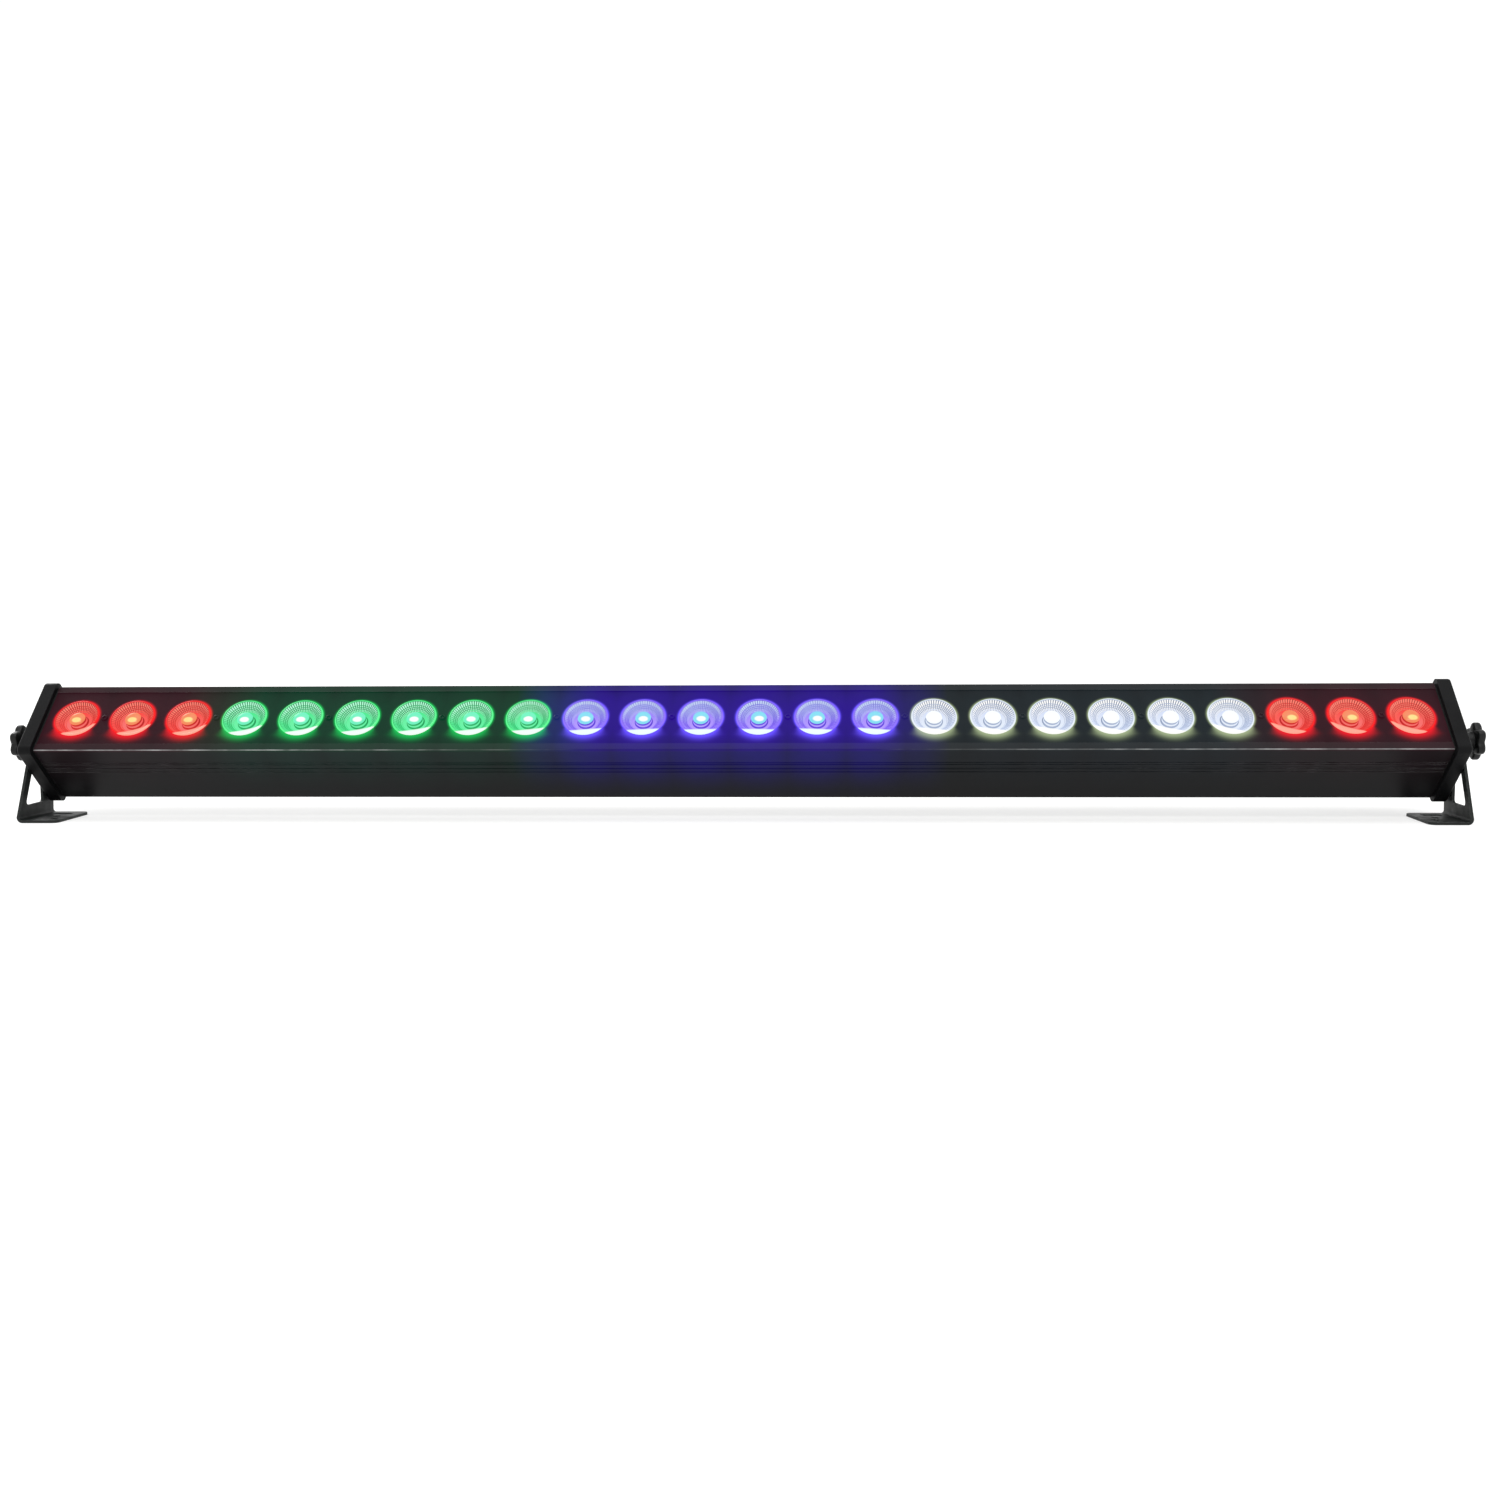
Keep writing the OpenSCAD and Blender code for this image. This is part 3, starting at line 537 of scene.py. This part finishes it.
def cad_shape(node):
    """A copy of a CAD node's mesh with its flat faces made whole."""
    shape = bmesh.new()
    shape.from_mesh(nodes[node].data)
    shape.loops.layers.float.new("edge")
    bmesh.ops.remove_doubles(shape, verts=shape.verts, dist=SAME_POINT)
    bmesh.ops.dissolve_limit(shape, angle_limit=math.radians(0.6), verts=shape.verts, edges=shape.edges)
    for face in shape.faces:
        face.material_index = 0
    return shape


def rounded_piece(node, name, material, slot, width, steps=2):
    """A piece in the exact shape of a CAD node, with its sharp edges rounded."""
    shape = cad_shape(node)
    round_edges(shape, width, steps)
    add_piece(name, shape, [material], nodes[node]["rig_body"], [node])


def loft(shape, rings, close_end=True):
    """Joins rings of points, all with the same count, into a skin that is closed at its start. Returns the
    corners of the last ring."""
    rows = [[shape.verts.new(point) for point in ring] for ring in rings]
    for low, high in zip(rows, rows[1:]):
        for i in range(len(low)):
            j = (i + 1) % len(low)
            shape.faces.new((low[i], low[j], high[j], high[i]))
    shape.faces.new(list(reversed(rows[0])))
    if close_end:
        shape.faces.new(rows[-1])
    return rows[-1]


def ring(radius, height, count, place):
    """Points evenly round a circle. The place says where its axis and its height 0 lie."""
    turns = [2 * math.pi * i / count for i in range(count)]
    return [place @ Vector((radius * math.cos(turn), radius * math.sin(turn), height)) for turn in turns]


# ---------------------------------------------------------------------------
# Lenses
# ---------------------------------------------------------------------------

FLUTES = 52
# How much of a groove's width the cell beside it takes
CELL_EXTRA = 0.34
# The bowl's slope, from its edge to the foot of the domed middle: radius and depth in millimetres
BOWL_EDGE = (14.95, 0.3)
BOWL_FOOT = (8.2, 5.9)
# Rows of small cells, from the bowl's edge (0) to its foot (1)
CELL_ROWS = [(0.03, 0.32), (0.38, 0.47), (0.53, 0.61), (0.67, 0.75), (0.81, 0.88)]
# How far the rays stand out at the start and the end of a row
RAY_HEIGHTS = (0.16, 0.05)
# Rows that end above this share of the bowl are parted by dark lines
LINED_SHARE = 0.7
# The well over the emitter and the lens's foot: radius and height above the foot, in millimetres
LENS_WELL = [(3.4, 3.4), (3.6, 3.0), (3.6, 0.0), (5.2, 0.0)]
# The flange from the top of the cone to the bowl: radius and height from the lens's top
LENS_FLANGE = [(15.3, -4.3), (15.9, -3.7), (16.12, -3.4), (16.12, -1.3), (15.9, -1.2), (15.9, -0.55),
               (15.72, -0.16), (15.35, 0.0)]
# The line just inside the flange
INNER_LINE = (15.05, -0.12)
# The trough at the bowl's foot and the dome in it: radius, height from the lens's top and zone
LENS_DOME = [(6.5, -6.5, "deep"), (5.9, -6.6, "deep"), (5.8, -5.3, "body"), (5.75, -3.6, "deep"),
             (5.65, -2.0, "dome"), (5.5, -1.4, "dome"), (5.1, -0.95, "dome"), (4.5, -0.68, "dome"),
             (3.4, -0.42, "dome"), (1.9, -0.26, "dome"), (0.7, -0.2, "dome")]


def bowl(share):
    """Radius and height of the bowl's slope, from its edge at 0 to its foot at 1."""
    radius, depth = [edge + (foot - edge) * share for edge, foot in zip(BOWL_EDGE, BOWL_FOOT)]
    return radius, -depth


def lens_profile():
    """Rings from the emitter's well, up the outside, over the rim and down the bowl to the dome:
    radius, height from the lens's top, the flutes' height, and the zone of the band that follows."""
    rings = [(radius, height - lens_depth, 0, "rim") for radius, height in LENS_WELL]
    rings += [(radius, height, 0, "rim") for radius, height in LENS_FLANGE]
    rings.append((*INNER_LINE, 0, "line"))
    for start, end in CELL_ROWS:
        rings.append((*bowl(start), RAY_HEIGHTS[0], "cells"))
        rings.append((*bowl(end), RAY_HEIGHTS[1], "line" if end < LINED_SHARE else "body"))
    rings.append((*bowl(1), 0, "body"))
    rings += [(radius, height, 0, zone) for radius, height, zone in LENS_DOME]
    return rings


def lens_shape(shape, centre_x):
    """One lens: a cone with a round flange, a bowl cut into rows of small cells, and a domed middle."""
    count = 2 * FLUTES
    place = section @ Matrix.Translation((centre_x, 0, lens_top))
    rings = lens_profile()
    rows = []
    for radius, height, flute, _ in rings:
        # Even corners lie on a ray and odd ones in a groove
        row = []
        for i in range(count):
            turn = 2 * math.pi * (i + (CELL_EXTRA if i % 2 == 1 else 0)) / count
            lift = flute if i % 2 == 0 else -flute
            point = Vector((radius * math.cos(turn), radius * math.sin(turn), height + lift)) * MM
            row.append(shape.verts.new(place @ point))
        rows.append(row)
    for k in range(len(rows) - 1):
        band = rings[k][3]
        for i in range(count):
            j = (i + 1) % count
            face = shape.faces.new((rows[k][i], rows[k][j], rows[k + 1][j], rows[k + 1][i]))
            zone = band
            if band == "cells":
                zone = "ray" if i % 2 == 0 else "deep"
            face.material_index = LENS_ZONES.index(zone)
    shape.faces.new(rows[-1]).material_index = LENS_ZONES.index("dome")
    shape.faces.new(list(reversed(rows[0]))).material_index = LENS_ZONES.index("rim")


for number in range(1, SECTIONS + 1):
    shape = bmesh.new()
    for index in range((number - 1) * LAMPS_PER_SECTION, number * LAMPS_PER_SECTION):
        lens_shape(shape, lamp_x(index))
    colour = COLOURS[number - 1]
    add_piece(f"fluted_lenses_{number}", shape, lens_materials[colour], "batten",
              [f"lens_section_{number}"], angle=24)


# ---------------------------------------------------------------------------
# Body, panel and end caps
# ---------------------------------------------------------------------------

# How far in from the body's front corner the faces take the edge tone, as a painted highlight line
PAINTED_HIGHLIGHT_CORNER = 0.8 * MM


def in_front_corner(face):
    """Whether a face of the body lies at the corner between its lit face and its front side."""
    places = [section_back @ vertex.co for vertex in face.verts]
    return all(place.y < shell_low.y + PAINTED_HIGHLIGHT_CORNER for place in places) and all(
        place.z > shell_high.z - PAINTED_HIGHLIGHT_CORNER for place in places)


def on_cap_rim(edge, outer_x):
    """Whether an edge of a cap lies on its outer face and stands out round the body."""
    for vertex in edge.verts:
        place = section_back @ vertex.co
        proud = max(abs(place.y) - shell_high.y, abs(place.z) - shell_high.z)
        if abs(vertex.co.x - outer_x) >= 0.01 * MM or proud <= 0.5 * MM:
            return False
    return True


shape = cad_shape("housing")
# Rims, grooves and the front corner take the edge tone, which on this metal is a painted highlight
round_edges(shape, 0.15 * MM)
mark_edges(shape, [face for face in shape.faces if in_front_corner(face)])
add_piece("extruded_body", shape, [body_black], "batten", ["housing"])
rounded_piece("front_panel", "lamp_panel", panel_black, "panel_black", 0.18 * MM)

for side in ("left", "right"):
    node = f"end_cap_{side}"
    low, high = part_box(node)
    outer_x = high.x if side == "right" else low.x
    shape = cad_shape(node)
    round_edges(shape, 1.5 * MM, 4, lambda edge: on_cap_rim(edge, outer_x))
    round_edges(shape, 0.35 * MM)
    add_piece(f"moulded_cap_{side}", shape, [black], "batten", [node])
    rounded_piece(f"end_gasket_{side}", f"gasket_{side}", gasket, "rubber", 0.15 * MM)


# ---------------------------------------------------------------------------
# Screws
# ---------------------------------------------------------------------------

SCREW_POINTS = 24
# A pan head from under its edge to the flat on top: radius and height as shares of the head's
HEAD_PROFILE = [(0.96, 0), (1, 0.18), (1, 0.45), (0.93, 0.72), (0.8, 0.9), (0.68, 1)]
# The cross in the head, as shares of its radius: half the length and half the width of an arm
CROSS_REACH = 0.62
CROSS_SIDE = 0.2
# The floor of the cross: its height as a share of the head's, and how much smaller it is than the opening
CROSS_FLOOR = 0.35
CROSS_TAPER = 0.72


def cross_screw(shape, place, radius, height, shank_r, shank):
    """A pan head with a cross recess and a shank; place puts z along the screw, 0 under its head."""
    rows = [ring(shank_r, -shank, SCREW_POINTS, place), ring(shank_r, 0, SCREW_POINTS, place)]
    rows += [ring(radius * wide, height * high, SCREW_POINTS, place) for wide, high in HEAD_PROFILE]
    rim = loft(shape, rows, close_end=False)
    reach, side = radius * CROSS_REACH, radius * CROSS_SIDE
    outline = []
    for quarter in range(4):
        turn = Matrix.Rotation(math.pi / 2 * quarter, 4, "Z")
        outline += [turn @ Vector((reach, -side, height)), turn @ Vector((reach, side, height)),
                    turn @ Vector((side, side, height))]
    upper = [shape.verts.new(place @ point) for point in outline]
    floor_height = height * CROSS_FLOOR
    lower = [shape.verts.new(place @ Vector((point.x * CROSS_TAPER, point.y * CROSS_TAPER, floor_height)))
             for point in outline]
    for i in range(len(outline)):
        j = (i + 1) % len(outline)
        shape.faces.new((upper[i], upper[j], lower[j], lower[i]))
    shape.faces.new(lower)
    # The flat between the head's rim and the cross
    edges = []
    for corners in (rim, upper):
        for i in range(len(corners)):
            a, b = corners[i], corners[(i + 1) % len(corners)]
            edges.append(shape.edges.get((a, b)) or shape.edges.new((a, b)))
    bmesh.ops.triangle_fill(shape, use_beauty=True, edges=edges)


def solid_boxes(node, frame_back):
    """The lowest and highest corners of each of a node's separate solids, in a frame whose inverse is given.
    They are in order of place, so the list is the same every time."""
    shape = bmesh.new()
    shape.from_mesh(nodes[node].data)
    bmesh.ops.remove_doubles(shape, verts=shape.verts, dist=SAME_POINT)
    left = set(shape.verts)
    boxes = []
    while left:
        todo = [left.pop()]
        points = []
        while todo:
            vertex = todo.pop()
            points.append(frame_back @ vertex.co)
            for edge in vertex.link_edges:
                other = edge.other_vert(vertex)
                if other in left:
                    left.remove(other)
                    todo.append(other)
        boxes.append(extent(points))
    shape.free()
    return sorted(boxes, key=lambda box: tuple(box[0]))


# Head height and shank radius as shares of the head's radius
BACK_SCREW = (0.63, 0.55)
CAP_SCREW = (0.69, 0.54)
PANEL_SHANK = 0.65
PANEL_SCREW_LENGTH = 5 * MM
# No two screws in a row stop at the same angle: how much further each is turned than the one before it
PANEL_SCREW_STEP = 0.5
BACK_SCREW_STEP = 0.7
CAP_SCREW_STEP = 0.4

screw_low, screw_high = section_box("front_panel_screws")
head_r = (screw_high.y - screw_low.y) / 2
shape = bmesh.new()
for pair in range(lamp_count // 2):
    middle_x = (lamp_x(2 * pair) + lamp_x(2 * pair + 1)) / 2
    place = section @ Matrix.Translation((middle_x, 0, panel_top))
    place = place @ Matrix.Rotation(PANEL_SCREW_STEP * pair, 4, "Z")
    cross_screw(shape, place, head_r, screw_high.z - panel_top, head_r * PANEL_SHANK, PANEL_SCREW_LENGTH)
add_piece("panel_screws", shape, [panel_screw], "batten", ["front_panel_screws"], angle=35)

# The body's own frame turned over, with z outwards from the back face
back = section @ Matrix.Rotation(math.pi, 4, "X")
shape = bmesh.new()
for number, (low, high) in enumerate(solid_boxes("connector_screws", back.inverted())):
    middle = (low + high) / 2
    head = (high.x - low.x) / 2
    height = head * BACK_SCREW[0]
    under = high.z - height
    place = back @ Matrix.Translation((middle.x, middle.y, under))
    place = place @ Matrix.Rotation(BACK_SCREW_STEP * number, 4, "Z")
    cross_screw(shape, place, head, height, head * BACK_SCREW[1], under - low.z)
add_piece("back_screws", shape, [steel], "batten", ["connector_screws"], angle=35)

shape = bmesh.new()
for number, (low, high) in enumerate(solid_boxes("end_cap_screws", Matrix.Identity(4))):
    sign = 1 if low.x > 0 else -1
    outer_x = high.x if sign > 0 else low.x
    middle = (low + high) / 2
    head = (high.y - low.y) / 2
    height = head * CAP_SCREW[0]
    place = Matrix.Translation((outer_x - sign * height, middle.y, middle.z))
    place = place @ Matrix.Rotation(sign * math.pi / 2, 4, "Y")
    place = place @ Matrix.Rotation(CAP_SCREW_STEP * number, 4, "Z")
    cross_screw(shape, place, head, height, head * CAP_SCREW[1], high.x - low.x - height)
add_piece("cap_screws", shape, [screw_black], "batten", ["end_cap_screws"], angle=35)


# ---------------------------------------------------------------------------
# Brackets and knobs
# ---------------------------------------------------------------------------

LOBES = 6
KNOB_POINTS = 144
# Length of the knob's lobed head
KNOB_HEAD = 5.6 * MM
# The hollows between the lobes, the hub and the ring at its foot, as shares of the radius over the lobes
KNOB_CORE = 0.79
KNOB_HUB = 0.489
KNOB_FOOT = 0.556
# How round the lobes are: below 1 they are blunter than a plain wave
LOBE_BLUNTNESS = 0.8
# The dished middle of the head: radius as a share of the same radius, and depth
KNOB_DISH = [(0.56, 0), (0.53, 0.25 * MM), (0.5, 0.7 * MM), (0.25, 0.55 * MM), (0.05, 0.5 * MM)]


def star_knob(side):
    """A clamping knob: a hub with a ring at its foot, and a head with round lobes and a dished middle."""
    low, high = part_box(f"knob_{side}")
    sign = 1 if side == "right" else -1
    start = low.x if sign > 0 else high.x
    place = Matrix.Translation((start, pivot_y, pivot_z)) @ Matrix.Rotation(sign * math.pi / 2, 4, "Y")
    tip = max(high.y - pivot_y, high.z - pivot_z)
    length = high.x - low.x
    head = length - KNOB_HEAD
    core_r, hub_r, foot_r = tip * KNOB_CORE, tip * KNOB_HUB, tip * KNOB_FOOT

    def lobed(inset, height):
        points = []
        for i in range(KNOB_POINTS):
            turn = 2 * math.pi * i / KNOB_POINTS
            wave = 0.5 + 0.5 * math.cos(LOBES * turn)
            reach = core_r + (tip - core_r) * wave ** LOBE_BLUNTNESS - inset
            points.append(place @ Vector((reach * math.cos(turn), reach * math.sin(turn), height)))
        return points

    # Radius and height up the foot and the hub, then inset and height over the lobed head
    hub = [(foot_r - 0.3 * MM, 0), (foot_r, 0.3 * MM), (foot_r, 0.9 * MM), (foot_r - 0.35 * MM, 1.2 * MM),
           (hub_r, 1.5 * MM), (hub_r, head - 0.5 * MM), (hub_r + 0.5 * MM, head)]
    star = [(1.4 * MM, head), (0.5 * MM, head + 0.35 * MM), (0, head + 1.2 * MM), (0, length - 1.6 * MM),
            (0.35 * MM, length - 0.8 * MM), (1.0 * MM, length - 0.25 * MM), (2.0 * MM, length)]
    rows = [ring(radius, height, KNOB_POINTS, place) for radius, height in hub]
    rows += [lobed(inset, height) for inset, height in star]
    rows += [ring(tip * share, length - depth, KNOB_POINTS, place) for share, depth in KNOB_DISH]
    shape = bmesh.new()
    loft(shape, rows)
    add_piece(f"star_knob_{side}", shape, [knob_black], f"{side}_clamp_knob",
              [f"knob_{side}"], angle=60)


for side in ("left", "right"):
    rounded_piece(f"bracket_{side}", f"bent_bracket_{side}", coat, "bracket_paint", 0.35 * MM, 3)
    rounded_piece(f"knob_washer_{side}", f"washer_{side}", steel, "bare_aluminium", 0.2 * MM)
    star_knob(side)


# ---------------------------------------------------------------------------
# Back face
# ---------------------------------------------------------------------------

window_red = Graph("red display window")
window_red.dress((46, 4, 6), (58, 6, 8), (0.06, 0.14), 60, 900, depth=0.004 * MM)

# Node, new name, material, slot and width of the rounding
BACK_PIECES = [
    ("mains_inlet", "mains_inlet_moulding", black, "black_plastic", 0.4 * MM),
    ("mains_outlet", "mains_outlet_moulding", black, "black_plastic", 0.4 * MM),
    ("signal_inlet", "signal_inlet_shell", steel, "contact_metal", 0.35 * MM),
    ("signal_outlet", "signal_outlet_shell", steel, "contact_metal", 0.35 * MM),
    ("signal_latch", "latch_key", bare, "contact_metal", 0.3 * MM),
    ("fuse_drawer", "fuse_drawer_moulding", grey, "grey_plastic", 0.3 * MM),
    ("connector_contacts", "contact_pins", brass, "contact_metal", 0.25 * MM),
]
for piece in BACK_PIECES:
    rounded_piece(*piece)
for number in range(1, 5):
    rounded_piece(f"button_{number}", f"push_button_{number}", grey, "grey_plastic", 0.45 * MM, 3)
rounded_piece("display_window", "red_window", window_red.material, "window_red", 0.25 * MM)

# CAD nodes that stay, nearly all of them inside the body
KEPT = {
    body_black: ["panel_posts"],
    brass: ["thread_insert_left", "thread_insert_right", "card_standoffs"],
    gasket: ["friction_washer_left", "friction_washer_right"],
    steel: ["knob_stud_left", "knob_stud_right", "button_switches", "fuse"],
    bare: ["heat_spreader"],
    board_green: ["supply_card", "control_card"],
    board_white: [*(f"led_board_{number}" for number in range(1, 5)), "led_emitters"],
    black: ["lens_holders", "control_parts", "supply_parts", "display_module", "led_wiring", "mains_wiring",
            "signal_wiring"],
}
for material, names in KEPT.items():
    for name in names:
        nodes[name].data.materials.clear()
        nodes[name].data.materials.append(material)


# ---------------------------------------------------------------------------
# Studio
# ---------------------------------------------------------------------------

# Metres from the middle of the floor to its edge
FLOOR_HALF = 9.0
FLOOR_GLOW = 0.5
WORLD_GLOW = 1.05
WHITE = (1.0, 1.0, 1.0, 1.0)

floor_shape = bmesh.new()
bmesh.ops.create_grid(floor_shape, x_segments=8, y_segments=8, size=FLOOR_HALF)
floor_mesh = bpy.data.meshes.new("floor")
floor_shape.to_mesh(floor_mesh)
floor_shape.free()
floor_graph = Graph("pale floor")
floor_graph.dress((190, 190, 189), (194, 194, 193), (0.8, 0.9), 1.2, 60, specular=0.05, depth=0.01 * MM)
floor_graph.shader.inputs["Emission Color"].default_value = WHITE
floor_graph.shader.inputs["Emission Strength"].default_value = FLOOR_GLOW
floor_mesh.materials.append(floor_graph.material)
floor = bpy.data.objects.new("floor", floor_mesh)
bpy.context.scene.collection.objects.link(floor)

world = bpy.data.worlds.new("studio")
world.use_nodes = True
world.node_tree.nodes["Background"].inputs["Color"].default_value = WHITE
world.node_tree.nodes["Background"].inputs["Strength"].default_value = WORLD_GLOW
bpy.context.scene.world = world


def softbox(name, place, target, size, power):
    """A rectangular lamp that faces the target, with its sides in metres and its power in watts."""
    lamp = bpy.data.lights.new(name, "AREA")
    lamp.shape = "RECTANGLE"
    lamp.size, lamp.size_y = size
    lamp.energy = power
    box = bpy.data.objects.new(name, lamp)
    box.location = place
    box.rotation_euler = (Vector(target) - Vector(place)).to_track_quat("-Z", "Y").to_euler()
    bpy.context.scene.collection.objects.link(box)


softbox("overhead", (0.0, -0.4, 2.2), (0, 0, 0), (2.4, 1.2), 16)
softbox("front strip", (0.2, -1.9, 2.4), (0, 0, 0.05), (2.2, 0.25), 30)
softbox("left rear", (-1.8, 1.2, 1.3), (-0.3, 0, 0.05), (0.8, 1.2), 24)

# The camera stands in front of the bar, a little to its right, and looks slightly down. Angles in radians.
CAMERA_PLACE = Vector((80.4, -1090.4, 153.9)) * MM
CAMERA_DOWN = 0.0966
CAMERA_LEFT = 0.0492
CAMERA_ROLL = -0.0057
flat_right = Vector((math.cos(CAMERA_LEFT), math.sin(CAMERA_LEFT), 0))
flat_forward = Vector((-math.sin(CAMERA_LEFT), math.cos(CAMERA_LEFT), 0))
forward = math.cos(CAMERA_DOWN) * flat_forward - math.sin(CAMERA_DOWN) * Vector((0, 0, 1))
flat_up = flat_right.cross(forward)
right = math.cos(CAMERA_ROLL) * flat_right + math.sin(CAMERA_ROLL) * flat_up
up = math.cos(CAMERA_ROLL) * flat_up - math.sin(CAMERA_ROLL) * flat_right
CAMERA_SENSOR = 36
CAMERA_LENS = 36.22
CAMERA_SHIFT = -0.0125
camera_data = bpy.data.cameras.new("camera")
camera_data.sensor_width = CAMERA_SENSOR
camera_data.lens = CAMERA_LENS
camera_data.shift_x = CAMERA_SHIFT
camera_data.clip_start = 0.01
camera = bpy.data.objects.new("camera", camera_data)
turned = Matrix((right, up, -forward)).transposed()
camera.matrix_world = Matrix.Translation(CAMERA_PLACE) @ turned.to_4x4()
bpy.context.scene.collection.objects.link(camera)
bpy.context.scene.camera = camera
bpy.context.scene.view_settings.view_transform = "Standard"
